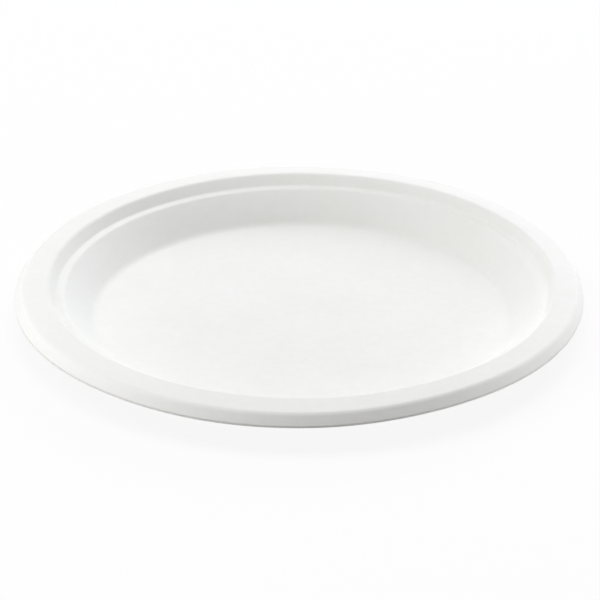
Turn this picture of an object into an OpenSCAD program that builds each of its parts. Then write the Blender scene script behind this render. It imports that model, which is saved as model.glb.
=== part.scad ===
// Round disposable plate, moulded in one piece from paper pulp.
// One sheet of even thickness, from the flat floor out to the trimmed edge of a turned-down rim.
// Origin: centre of the flat underside. +Z: up, along the axis of the plate.

/* [Overall] */
// Diameter across the trimmed edge
plate_d = 260; // [220:1:320]
// Height from the table to the top of the rim
plate_h = 20; // [16:0.5:32]
// Thickness of the pressed pulp, the same all over
wall_t = 0.8; // [0.5:0.05:1.2]

/* [Well] */
// Slope of the side wall, in degrees from the floor
wall_slope = 47; // [35:1:65]
// Inside radius of the bend between floor and wall
heel_bend = 5; // [4:0.5:14]

/* [Ledge] */
// Depth of the ledge below the top of the rim
ledge_depth = 5.4; // [4.5:0.1:8]
// Width of the ledge between its sharp corners
ledge_w = 3.8; // [3:0.1:8]
// Inside radius of the two bends beside the ledge
ledge_bend = 1.2; // [0.6:0.1:1.6]
// Slope of the short rise from the ledge to the rim, in degrees
rise_slope = 60; // [45:1:75]

/* [Rim] */
// Width from the top of the rim to the trimmed edge
rim_w = 13.5; // [11:0.1:24]
// Fall of the rim towards the outside, in degrees
rim_droop = 6; // [0:0.5:10]
// Inside radius of the bend along the top of the rim
crest_bend = 1; // [0.6:0.1:1.6]
// Inside radius of the shoulder, where the rim turns down
shoulder_bend = 2; // [1.5:0.1:3.6]
// Slope of the turned-down skirt, in degrees
skirt_slope = 57; // [50:1:70]
// Depth of the skirt's lowest point below the top of the rim
skirt_depth = 7; // [6.5:0.1:10]

/* [Hidden] */

// Turn of a bend that one facet of its arc takes, in degrees
arc_step = 5;
// Facets round the axis in a preview
round_steps = 240;

half_t = wall_t / 2;
edge_r = plate_d / 2;

// The top of the rim is a bend, so its sharp corner lies above and inside the highest point.
crest_middle = crest_bend + half_t;
crest_tangent = crest_middle * tan((rise_slope + rim_droop) / 2);
crest_r = edge_r - rim_w - crest_middle * sin(rise_slope) + crest_tangent * cos(rise_slope);
crest_z = plate_h - half_t - crest_middle * (1 - cos(rise_slope)) + crest_tangent * sin(rise_slope);

// The trimming knife cuts straight down, so the cut face is taller than the sheet is thick.
cut_h = wall_t / cos(skirt_slope);
edge_z = plate_h - skirt_depth + cut_h / 2;

// The shoulder's sharp corner is where the drooping rim meets the line of the skirt.
shoulder_r = (edge_z + edge_r * tan(skirt_slope) - crest_z - crest_r * tan(rim_droop))
    / (tan(skirt_slope) - tan(rim_droop));
shoulder_z = edge_z + (edge_r - shoulder_r) * tan(skirt_slope);

ledge_z = plate_h - ledge_depth - half_t;
ledge_outer_r = crest_r - (crest_z - ledge_z) / tan(rise_slope);
ledge_inner_r = ledge_outer_r - ledge_w;
heel_r = ledge_inner_r - (ledge_z - half_t) / tan(wall_slope);

// Sharp corners of the sheet's middle line, from the axis outwards: radius, height, inside bend radius
middle_line = [
    [0, half_t, 0],
    [heel_r, half_t, heel_bend],
    [ledge_inner_r, ledge_z, ledge_bend],
    [ledge_outer_r, ledge_z, ledge_bend],
    [crest_r, crest_z, crest_bend],
    [shoulder_r, shoulder_z, shoulder_bend],
    [edge_r, edge_z, 0],
];

// Slope of the middle line's run that starts at corner i
function run_slope(i) =
    let (run = middle_line[i + 1] - middle_line[i])
    atan2(run[1], run[0]);

// Arc of one face of the sheet round corner i. Side is 1 for the upper face and -1 for the lower.
// Both faces share the bend's centre, so the sheet keeps its thickness.
function bend_arc(i, side) =
    let (
        corner = middle_line[i],
        slope_in = run_slope(i - 1),
        turn = run_slope(i) - slope_in,
        way = sign(turn),
        middle_r = corner[2] + half_t,
        tangent = middle_r * tan(abs(turn) / 2),
        centre = [
            corner[0] - tangent * cos(slope_in) - way * middle_r * sin(slope_in),
            corner[1] - tangent * sin(slope_in) + way * middle_r * cos(slope_in),
        ],
        reach = way * middle_r - side * half_t,
        steps = ceil(abs(turn) / arc_step)
    )
    [
        for (k = [0:steps])
            let (slope = slope_in + turn * k / steps)
            centre + reach * [sin(slope), -cos(slope)]
    ];

// One face of the sheet, from the axis to the trimmed edge
function face(side) = [
    [0, half_t + side * half_t],
    for (i = [1:len(middle_line) - 2]) each bend_arc(i, side),
    [edge_r, edge_z + side * cut_h / 2],
];

function reversed(points) = [for (i = [len(points) - 1:-1:0]) points[i]];

module plate() {
    color("ivory")
        rotate_extrude($fn = round_steps)
            polygon(concat(face(-1), reversed(face(1))));
}

plate();
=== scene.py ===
from math import cos, pi, radians, sin, tan

import bpy
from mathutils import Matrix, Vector


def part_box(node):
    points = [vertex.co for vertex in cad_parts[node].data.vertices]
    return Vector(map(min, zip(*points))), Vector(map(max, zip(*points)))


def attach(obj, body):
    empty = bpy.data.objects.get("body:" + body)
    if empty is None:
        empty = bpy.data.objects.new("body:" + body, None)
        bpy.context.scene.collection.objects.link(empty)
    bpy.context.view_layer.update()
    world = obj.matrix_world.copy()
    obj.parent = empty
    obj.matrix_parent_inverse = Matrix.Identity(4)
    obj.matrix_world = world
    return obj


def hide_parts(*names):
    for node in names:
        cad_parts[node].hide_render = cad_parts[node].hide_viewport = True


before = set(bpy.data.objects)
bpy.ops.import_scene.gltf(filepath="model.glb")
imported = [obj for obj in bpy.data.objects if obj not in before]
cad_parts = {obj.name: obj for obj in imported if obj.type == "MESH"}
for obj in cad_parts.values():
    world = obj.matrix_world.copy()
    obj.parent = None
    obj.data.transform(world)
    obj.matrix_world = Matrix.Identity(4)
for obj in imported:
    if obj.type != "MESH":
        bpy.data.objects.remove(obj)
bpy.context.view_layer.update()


# The plate is one sheet of bleached plant pulp, 0.8 mm thick all over.
# Wet pulp is drawn onto a wire form and pressed hot between two dies, so both faces follow one line of
# straight runs and bends. The edge is then trimmed straight down, which leaves a rough, fibrous cut.
MM = 0.001

low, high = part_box("plate")
plate_r = (high.x - low.x) / 2
plate_h = high.z - low.z
sheet_t = 0.8 * MM
half_t = sheet_t / 2

wall_slope = radians(47)
heel_bend = 5 * MM
ledge_depth = 5.4 * MM
ledge_w = 3.8 * MM
ledge_bend = 1.2 * MM
rise_slope = radians(60)
rim_w = 13.5 * MM
rim_droop = radians(6)
crest_bend = 1 * MM
shoulder_bend = 2 * MM
skirt_slope = radians(57)
skirt_depth = 7 * MM

crest_middle = crest_bend + half_t
crest_tangent = crest_middle * tan((rise_slope + rim_droop) / 2)
crest_r = plate_r - rim_w - crest_middle * sin(rise_slope) + crest_tangent * cos(rise_slope)
crest_z = plate_h - half_t - crest_middle * (1 - cos(rise_slope)) + crest_tangent * sin(rise_slope)
trim_h = sheet_t / cos(skirt_slope)
trim_z = plate_h - skirt_depth + trim_h / 2
shoulder_r = (trim_z + plate_r * tan(skirt_slope) - crest_z - crest_r * tan(rim_droop)) / (
    tan(skirt_slope) - tan(rim_droop))
shoulder_z = trim_z + (plate_r - shoulder_r) * tan(skirt_slope)
ledge_z = plate_h - ledge_depth - half_t
ledge_outer_r = crest_r - (crest_z - ledge_z) / tan(rise_slope)
ledge_inner_r = ledge_outer_r - ledge_w
heel_r = ledge_inner_r - (ledge_z - half_t) / tan(wall_slope)

# Sharp corners of the sheet's middle line, from the axis outwards: radius, height, inside bend radius
middle_line = [
    (0, half_t, 0),
    (heel_r, half_t, heel_bend),
    (ledge_inner_r, ledge_z, ledge_bend),
    (ledge_outer_r, ledge_z, ledge_bend),
    (crest_r, crest_z, crest_bend),
    (shoulder_r, shoulder_z, shoulder_bend),
    (plate_r, trim_z, 0),
]


def feed(tree, socket, value):
    """Links a socket to another node's output, or sets its number, colour or data."""
    if isinstance(value, bpy.types.NodeSocket):
        tree.links.new(value, socket)
    else:
        socket.default_value = value


def put(tree, kind, feeds=None, **options):
    """Adds a node with its options, and feeds its inputs by name or place."""
    made = tree.nodes.new(kind)
    for name, value in options.items():
        setattr(made, name, value)
    for key, value in (feeds or {}).items():
        feed(tree, made.inputs[key], value)
    return made


def calc(tree, operation, *values):
    """One step of arithmetic on numbers or fields."""
    return put(tree, "ShaderNodeMath", dict(enumerate(values)), operation=operation).outputs[0]


def vector(tree, x, y, z):
    """A vector of three numbers or fields."""
    return put(tree, "ShaderNodeCombineXYZ", {"X": x, "Y": y, "Z": z}).outputs[0]


def parts_of(tree, value):
    """The x, y and z of a vector."""
    return put(tree, "ShaderNodeSeparateXYZ", {"Vector": value}).outputs


def stored(tree, name):
    """The number that the points keep under a name."""
    return put(tree, "GeometryNodeInputNamedAttribute", {"Name": name}, data_type="FLOAT").outputs[0]


def store(tree, shape, name, value):
    """Gives each point of a shape a number to keep under a name."""
    return put(tree, "GeometryNodeStoreNamedAttribute", {
        "Geometry": shape,
        "Name": name,
        "Value": value,
    }, data_type="FLOAT", domain="POINT").outputs[0]


def sample(tree, shape, value, index, data_type="FLOAT_VECTOR"):
    """A value read from one point of another shape."""
    return put(tree, "GeometryNodeSampleIndex", {
        "Geometry": shape,
        "Value": value,
        "Index": index,
    }, data_type=data_type).outputs[0]


def moulded_sheet_tree():
    """Bends a line of sharp corners, gives it both faces of the sheet, and turns it round the axis."""
    tree = bpy.data.node_groups.new("Moulded sheet", "GeometryNodeTree")
    tree.interface.new_socket("Geometry", in_out="OUTPUT", socket_type="NodeSocketGeometry")
    for name, kind in (
        ("Geometry", "Geometry"),
        ("Sheet thickness", "Float"),
        ("Trim height", "Float"),
        ("Trim rounding", "Float"),
        ("Trim facets", "Int"),
        ("Bend facets", "Int"),
        ("Longest run", "Float"),
        ("Facets round the axis", "Int"),
        ("Flat radius", "Float"),
        ("Rim radius", "Float"),
        ("Trim off centre", "Float"),
        ("Trim band", "Float"),
        ("Sag of the rim", "Float"),
        ("Waves per metre", "Float"),
        ("Seed", "Float"),
        ("Material", "Material"),
    ):
        tree.interface.new_socket(name, in_out="INPUT", socket_type="NodeSocket" + kind)
    given = tree.nodes.new("NodeGroupInput").outputs
    index = put(tree, "GeometryNodeInputIndex").outputs[0]
    place = put(tree, "GeometryNodeInputPosition").outputs[0]
    half = calc(tree, "MULTIPLY", given["Sheet thickness"], 0.5)

    # The middle line, with each corner bent to its own radius
    corners = put(tree, "GeometryNodeMeshToCurve", {"Mesh": given["Geometry"]}).outputs[0]
    bent = put(tree, "GeometryNodeFilletCurve", {
        "Curve": corners,
        "Count": given["Bend facets"],
        "Radius": calc(tree, "ADD", stored(tree, "bend"), half),
    }, mode="POLY").outputs[0]
    next_place = put(tree, "GeometryNodeFieldAtIndex", {
        "Index": calc(tree, "ADD", index, 1),
        "Value": place,
    }, data_type="FLOAT_VECTOR").outputs[0]
    run = put(tree, "ShaderNodeVectorMath", {
        0: place,
        1: next_place,
    }, operation="DISTANCE").outputs["Value"]
    middle = put(tree, "GeometryNodeSubdivideCurve", {
        "Curve": bent,
        "Cuts": calc(tree, "FLOOR", calc(tree, "DIVIDE", run, given["Longest run"])),
    }).outputs[0]
    count = put(tree, "GeometryNodeAttributeDomainSize", {
        "Geometry": middle}, component="CURVE").outputs[0]

    # Both faces as one outline: out along the underside, over the trimmed edge and back along the top
    outline_count = calc(tree, "MULTIPLY", count, 2)
    on_top = calc(tree, "GREATER_THAN", index, calc(tree, "SUBTRACT", count, 0.5))
    way_back = calc(tree, "SUBTRACT", calc(tree, "SUBTRACT", outline_count, 1), index)
    source = calc(tree, "MINIMUM", index, way_back)
    side = calc(tree, "MULTIPLY_ADD", on_top, 2, -1)
    on_line = sample(tree, middle, place, source)
    along = sample(tree, middle, put(tree, "GeometryNodeInputTangent").outputs[0], source)
    along_x, _, along_z = parts_of(tree, along)
    at_edge = calc(tree, "GREATER_THAN", source, calc(tree, "SUBTRACT", count, 1.5))
    in_sheet = calc(tree, "SUBTRACT", 1, at_edge)
    across = calc(tree, "MULTIPLY", calc(tree, "MULTIPLY", side, half), in_sheet)
    square_x = calc(tree, "MULTIPLY", calc(tree, "MULTIPLY", along_z, across), -1)
    square_z = calc(tree, "MULTIPLY", along_x, across)
    cut_z = calc(tree, "MULTIPLY", calc(tree, "MULTIPLY", side, given["Trim height"]), 0.5)
    face_z = calc(tree, "MULTIPLY_ADD", cut_z, at_edge, square_z)
    points = put(tree, "GeometryNodeMeshLine", {"Count": outline_count}).outputs[0]
    faces = put(tree, "GeometryNodeSetPosition", {
        "Geometry": points,
        "Position": on_line,
        "Offset": vector(tree, square_x, 0, face_z),
    }).outputs[0]
    faces = store(tree, faces, "top_side", on_top)
    faces = store(tree, faces, "trimmed", at_edge)
    outline = put(tree, "GeometryNodeFilletCurve", {
        "Curve": put(tree, "GeometryNodeMeshToCurve", {"Mesh": faces}).outputs[0],
        "Count": given["Trim facets"],
        "Radius": calc(tree, "MULTIPLY", stored(tree, "trimmed"), given["Trim rounding"]),
    }, mode="POLY").outputs[0]
    rings = put(tree, "GeometryNodeAttributeDomainSize", {
        "Geometry": outline}, component="CURVE").outputs[0]

    # The outline turned once round the axis
    grid = put(tree, "GeometryNodeMeshGrid", {
        "Vertices X": calc(tree, "ADD", given["Facets round the axis"], 1),
        "Vertices Y": rings,
    }).outputs[0]
    ring = calc(tree, "MODULO", index, rings)
    turn = calc(tree, "DIVIDE", calc(tree, "FLOOR", calc(tree, "DIVIDE", index, rings)),
                given["Facets round the axis"])
    turned = put(tree, "ShaderNodeVectorRotate", {
        "Vector": sample(tree, outline, place, ring),
        "Angle": calc(tree, "MULTIPLY", turn, 2 * pi),
    }, rotation_type="Z_AXIS").outputs[0]
    body = put(tree, "GeometryNodeSetPosition", {"Geometry": grid, "Position": turned}).outputs[0]
    for name in ("top_side", "trimmed"):
        body = store(tree, body, name, sample(tree, outline, stored(tree, name), ring, "FLOAT"))

    # The seam and both poles are closed by merging the points that meet there
    meet_within = 0.01 * MM
    body = put(tree, "GeometryNodeMergeByDistance", {
        "Geometry": body, "Distance": meet_within}).outputs[0]

    # The knife comes down a little off centre, so the rim is narrower on one side
    x, y, _ = parts_of(tree, place)
    flat_place = vector(tree, x, y, 0)
    radius = put(tree, "ShaderNodeVectorMath", {
        0: flat_place}, operation="LENGTH").outputs["Value"]
    inside_trim = put(tree, "ShaderNodeMapRange", {
        "Value": radius,
        "From Min": calc(tree, "SUBTRACT", given["Rim radius"], given["Trim band"]),
        "From Max": given["Rim radius"],
        "To Min": 1,
        "To Max": 0,
    }).outputs[0]
    body = put(tree, "GeometryNodeSetPosition", {
        "Geometry": body,
        "Offset": vector(tree, calc(tree, "MULTIPLY", inside_trim, given["Trim off centre"]), 0, 0),
    }).outputs[0]

    # The rim dries a little unevenly, so it stays at full height in places and sags between them
    noise_low = 0.3
    noise_high = 0.6
    waves = put(tree, "ShaderNodeMapRange", {
        "Value": put(tree, "ShaderNodeTexNoise", {
            "Vector": flat_place,
            "W": given["Seed"],
            "Scale": given["Waves per metre"],
            "Detail": 1,
        }, noise_dimensions="4D").outputs[0],
        "From Min": noise_low,
        "From Max": noise_high,
    }).outputs[0]
    loose = put(tree, "ShaderNodeMapRange", {
        "Value": radius,
        "From Min": given["Flat radius"],
        "From Max": given["Rim radius"],
    }, interpolation_type="SMOOTHSTEP").outputs[0]
    drop = calc(tree, "MULTIPLY", calc(tree, "MULTIPLY", waves, loose), given["Sag of the rim"])
    body = put(tree, "GeometryNodeSetPosition", {
        "Geometry": body,
        "Offset": vector(tree, 0, 0, calc(tree, "MULTIPLY", drop, -1)),
    }).outputs[0]

    body = put(tree, "GeometryNodeSetShadeSmooth", {"Geometry": body}).outputs[0]
    body = put(tree, "GeometryNodeRealizeInstances", {"Geometry": body}).outputs[0]
    body = put(tree, "GeometryNodeSetMaterial", {
        "Geometry": body, "Material": given["Material"]}).outputs[0]
    result = tree.nodes.new("NodeGroupOutput")
    tree.links.new(body, result.inputs["Geometry"])
    return tree


def fibre_group():
    """Thin wavy strands that lie along one direction, as a mask."""
    group = bpy.data.node_groups.new("Fibres", "ShaderNodeTree")
    for name, kind in (("Vector", "Vector"), ("Turn", "Float"), ("Strands per metre", "Float"),
                       ("Strand width", "Float"), ("Seed", "Float")):
        group.interface.new_socket(name, in_out="INPUT", socket_type="NodeSocket" + kind)
    group.interface.new_socket("Strands", in_out="OUTPUT", socket_type="NodeSocketFloat")
    given = group.nodes.new("NodeGroupInput").outputs
    turned = put(group, "ShaderNodeVectorRotate", {
        "Vector": given["Vector"], "Angle": given["Turn"]}, rotation_type="Z_AXIS").outputs[0]
    x, y, z = parts_of(group, turned)
    squeeze_along = 0.14
    stretched = vector(group, calc(group, "MULTIPLY", x, squeeze_along), y, z)
    field = put(group, "ShaderNodeTexNoise", {
        "Vector": stretched,
        "W": given["Seed"],
        "Scale": given["Strands per metre"],
        "Detail": 1.5,
        "Distortion": 0.6,
    }, noise_dimensions="4D").outputs[0]
    # A strand lies where the noise passes through its middle value
    middle = 0.5
    strand = put(group, "ShaderNodeMapRange", {
        "Value": calc(group, "ABSOLUTE", calc(group, "SUBTRACT", field, middle)),
        "From Max": given["Strand width"],
        "To Min": 1,
        "To Max": 0,
    }, interpolation_type="SMOOTHSTEP").outputs[0]
    result = group.nodes.new("NodeGroupOutput")
    group.links.new(strand, result.inputs["Strands"])
    return group


def noise(tree, where, per_metre, detail=3, roughness=0.55):
    """Cloudy variation from 0 to 1, with so many clouds in a metre."""
    return put(tree, "ShaderNodeTexNoise", {
        "Vector": where,
        "Scale": per_metre,
        "Detail": detail,
        "Roughness": roughness,
    }).outputs[0]


def pulp_material():
    """White pressed pulp: matt, faintly cloudy, with fibres that cross in every direction."""
    material = bpy.data.materials.new("White pulp")
    material.use_nodes = True
    tree = material.node_tree
    surface = tree.nodes["Principled BSDF"]
    where = put(tree, "ShaderNodeTexCoord").outputs["Object"]
    top_side = put(tree, "ShaderNodeAttribute", attribute_name="top_side").outputs["Fac"]
    cut_starts = 0.85
    trimmed = put(tree, "ShaderNodeMapRange", {
        "Value": put(tree, "ShaderNodeAttribute", attribute_name="trimmed").outputs["Fac"],
        "From Min": cut_starts,
    }).outputs[0]

    fibres = fibre_group()
    strands = None
    for turn, per_metre, width, seed in (
        (0.3, 1300, 0.018, 1.0),
        (1.4, 1100, 0.016, 4.0),
        (2.4, 1500, 0.02, 7.0),
        (3.6, 900, 0.012, 11.0),
    ):
        layer = put(tree, "ShaderNodeGroup", node_tree=fibres)
        for name, value in (
            ("Vector", where),
            ("Turn", turn),
            ("Strands per metre", per_metre),
            ("Strand width", width),
            ("Seed", seed),
        ):
            feed(tree, layer.inputs[name], value)
        crossing = layer.outputs["Strands"]
        strands = crossing if strands is None else calc(tree, "MAXIMUM", strands, crossing)

    clouds = noise(tree, where, per_metre=32)
    flocs = noise(tree, where, per_metre=260, detail=4, roughness=0.6)
    grain = noise(tree, where, per_metre=2200, detail=2)

    # Colour: bright where the pulp is dense, a touch darker between the flocs, and darker at the cut,
    # which is painted shade for the shadow under the rim
    thin_pulp = (0.888, 0.886, 0.867, 1)
    dense_pulp = (0.922, 0.923, 0.91, 1)
    fibre_white = (0.945, 0.948, 0.94, 1)
    # The cut's grey is painted shade: it stands in for the shadow that lies under the rim's edge
    cut_painted_shade = (0.84, 0.835, 0.81, 1)
    fibre_share = 0.25
    depth = calc(tree, "MULTIPLY_ADD", clouds, 0.5, calc(tree, "MULTIPLY", flocs, 0.5))
    colour = put(tree, "ShaderNodeValToRGB", {"Fac": depth})
    colour.color_ramp.elements[0].position = 0.3
    colour.color_ramp.elements[0].color = thin_pulp
    colour.color_ramp.elements[1].position = 0.7
    colour.color_ramp.elements[1].color = dense_pulp
    streaked = put(tree, "ShaderNodeMix", {
        "Factor": calc(tree, "MULTIPLY", strands, fibre_share),
        "A": colour.outputs["Color"],
        "B": fibre_white,
    }, data_type="RGBA")
    # Painted shade: the trimmed edge is mixed towards the darker grey of the cut, a little unevenly with
    # the grain
    cut = put(tree, "ShaderNodeMix", {
        "Factor": calc(tree, "MULTIPLY", trimmed, calc(tree, "MULTIPLY_ADD", grain, 0.5, 0.5)),
        "A": streaked.outputs["Result"],
        "B": cut_painted_shade,
    }, data_type="RGBA")
    feed(tree, surface.inputs["Base Color"], cut.outputs["Result"])

    # Sheen: a dense sheet shines a little, and flocs and the cut are rougher
    pressed_roughness = 0.62
    floc_roughness = 0.18
    cut_roughness = 0.15
    roughness = calc(tree, "MULTIPLY_ADD", flocs, floc_roughness, pressed_roughness)
    roughness = calc(tree, "MULTIPLY_ADD", trimmed, cut_roughness, roughness)
    feed(tree, surface.inputs["Roughness"], roughness)
    surface.inputs["Specular IOR Level"].default_value = 0.35

    # The wire form leaves its print on the underside, where the pulp was drawn onto it
    wires_per_metre = 900
    wire_relief = 0.012
    x, y, _ = parts_of(tree, where)
    print_x, print_y = (
        calc(tree, "SINE", calc(tree, "MULTIPLY", axis, 2 * pi * wires_per_metre)) for axis in (x, y))
    under = calc(tree, "SUBTRACT", 1, top_side)
    wire = calc(tree, "MULTIPLY", calc(tree, "MULTIPLY", print_x, print_y),
                calc(tree, "MULTIPLY", under, wire_relief))

    # Relief in millimetres, added up from broad clouds to fine grain, which is strongest at the cut
    height = wire
    for mask, relief in (
        (clouds, 0.12),
        (flocs, 0.04),
        (strands, 0.006),
        (grain, 0.008),
        (calc(tree, "MULTIPLY", grain, trimmed), 0.06),
    ):
        height = calc(tree, "MULTIPLY_ADD", mask, relief, height)
    bump = put(tree, "ShaderNodeBump", {"Height": height, "Distance": MM, "Strength": 1})
    feed(tree, surface.inputs["Normal"], bump.outputs["Normal"])
    return material


line_mesh = bpy.data.meshes.new("middle_line")
line_mesh.from_pydata(
    [(r, 0, z) for r, z, _ in middle_line],
    [(i, i + 1) for i in range(len(middle_line) - 1)], [])
bends = line_mesh.attributes.new("bend", "FLOAT", "POINT")
bends.data.foreach_set("value", [bend for _, _, bend in middle_line])
line = bpy.data.objects.new("middle_line", line_mesh)
bpy.context.scene.collection.objects.link(line)

sheet_tree = moulded_sheet_tree()
turning = line.modifiers.new("Moulded sheet", "NODES")
turning.node_group = sheet_tree
for name, value in {
    "Sheet thickness": sheet_t,
    "Trim height": trim_h,
    "Trim rounding": 0.15 * MM,
    "Trim facets": 4,
    "Bend facets": 10,
    "Longest run": 2.5 * MM,
    "Facets round the axis": 360,
    "Flat radius": heel_r,
    "Rim radius": plate_r,
    "Trim off centre": 1.07 * MM,
    "Trim band": 12 * MM,
    "Sag of the rim": 1.1 * MM,
    "Waves per metre": 7.0,
    "Seed": 3736.0,
    "Material": pulp_material(),
}.items():
    turning[sheet_tree.interface.items_tree[name].identifier] = value

settled = line.evaluated_get(bpy.context.evaluated_depsgraph_get())
plate = bpy.data.objects.new("pulp_plate", bpy.data.meshes.new_from_object(settled))
bpy.context.scene.collection.objects.link(plate)
bpy.data.objects.remove(line)
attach(plate, "root")
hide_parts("plate")


# The studio floor is a wide white sheet. It takes the plate's soft shadow.
# What the camera sees of it is mostly its own plain white.
floor_mesh = bpy.data.meshes.new("floor")
reach = 4.0
below_plate = 0.2 * MM
floor_mesh.from_pydata([(-reach, -reach, 0), (reach, -reach, 0), (reach, reach, 0), (-reach, reach, 0)],
                       [], [(0, 1, 2, 3)])
floor = bpy.data.objects.new("floor", floor_mesh)
floor.location.z = -below_plate
bpy.context.scene.collection.objects.link(floor)


def seen(tree):
    """1 for what the camera sees, straight or in a shiny or clear surface, and 0 for what only lights."""
    path = put(tree, "ShaderNodeLightPath").outputs
    return calc(tree, "MAXIMUM", path["Is Camera Ray"],
                calc(tree, "MAXIMUM", path["Is Glossy Ray"], path["Is Transmission Ray"]))


own_white = 0.9
paper = bpy.data.materials.new("Studio floor")
paper.use_nodes = True
tree = paper.node_tree
tree.nodes.remove(tree.nodes["Principled BSDF"])
grey = put(tree, "ShaderNodeBsdfDiffuse", {"Color": (0.6, 0.6, 0.6, 1)})
pale = put(tree, "ShaderNodeBsdfDiffuse", {"Color": (0.95, 0.95, 0.95, 1)})
white = put(tree, "ShaderNodeEmission", {"Color": (1, 1, 1, 1), "Strength": 1})
in_view = put(tree, "ShaderNodeMixShader", {"Fac": own_white, 1: pale.outputs[0], 2: white.outputs[0]})
mixed = put(tree, "ShaderNodeMixShader", {"Fac": seen(tree), 1: grey.outputs[0], 2: in_view.outputs[0]})
feed(tree, tree.nodes["Material Output"].inputs["Surface"], mixed.outputs[0])
floor_mesh.materials.append(paper)


# A wide soft box over the plate, one at the left and three low ones behind it light the floor and the rim,
# and leave the wall at the back in soft shade. Two small cards close by light the skirt from both sides.
world = bpy.data.worlds.new("Studio")
bpy.context.scene.world = world
world.use_nodes = True
tree = world.node_tree
sky = tree.nodes["Background"]
feed(tree, sky.inputs["Color"], (1, 0.99, 0.97, 1))
feed(tree, sky.inputs["Strength"], 0.015)
backdrop = put(tree, "ShaderNodeBackground", {"Color": (1, 1, 1, 1), "Strength": 1})
mixed = put(tree, "ShaderNodeMixShader", {"Fac": seen(tree), 1: sky.outputs[0], 2: backdrop.outputs[0]})
feed(tree, tree.nodes["World Output"].inputs["Surface"], mixed.outputs[0])


def lamp(name, turn, rise, distance, size, watts, colour=(1, 1, 1)):
    """A soft box that faces the plate, turned from the right and raised from the floor in degrees."""
    light = bpy.data.lights.new(name, "AREA")
    light.shape = "RECTANGLE"
    light.size, light.size_y = size
    light.energy = watts
    light.color = colour
    made = bpy.data.objects.new(name, light)
    flat = cos(radians(rise))
    place = Vector((flat * cos(radians(turn)), flat * sin(radians(turn)), sin(radians(rise)))) * distance
    made.location = place
    made.rotation_euler = (-place).to_track_quat("-Z", "Y").to_euler()
    made.visible_camera = False
    bpy.context.scene.collection.objects.link(made)


far = 1.8
near = 0.6
wide_box = (1.2, 1.2)
soft_box = (0.9, 0.8)
card = (0.3, 0.1)
cool = (0.93, 0.965, 1)
warm = (1, 0.985, 0.955)
lamp("top", 90, 89, far, wide_box, 17.5)
lamp("left", 180, 48, far, soft_box, 8.6, warm)
lamp("back left", 150, 26, far, soft_box, 2.8, cool)
lamp("back", 90, 26, far, soft_box, 3.5, cool)
lamp("back right", 60, 26, far, soft_box, 12.8, cool)
lamp("left card", 210, 5, near, card, 1.03)
lamp("right card", -15, 5, near, card, 1.05)


# A long lens looks down on the plate from the front, from so high up that its rings look as flat as in the
# photograph. It aims a little beside the axis and above the table, which places the plate in the frame.
camera_distance = 1.3
camera_rise = radians(26.65)
aim = Vector((0.42 * MM, 0, 7.4 * MM))
lens = bpy.data.cameras.new("camera")
lens.sensor_width = 36
lens.lens = 169.7
lens.clip_start = 0.01
camera = bpy.data.objects.new("camera", lens)
away = Vector((0, -cos(camera_rise), sin(camera_rise)))
camera.location = aim + away * camera_distance
camera.rotation_euler = (-away).to_track_quat("-Z", "Y").to_euler()
bpy.context.scene.collection.objects.link(camera)
bpy.context.scene.camera = camera
bpy.context.scene.view_settings.view_transform = "Standard"
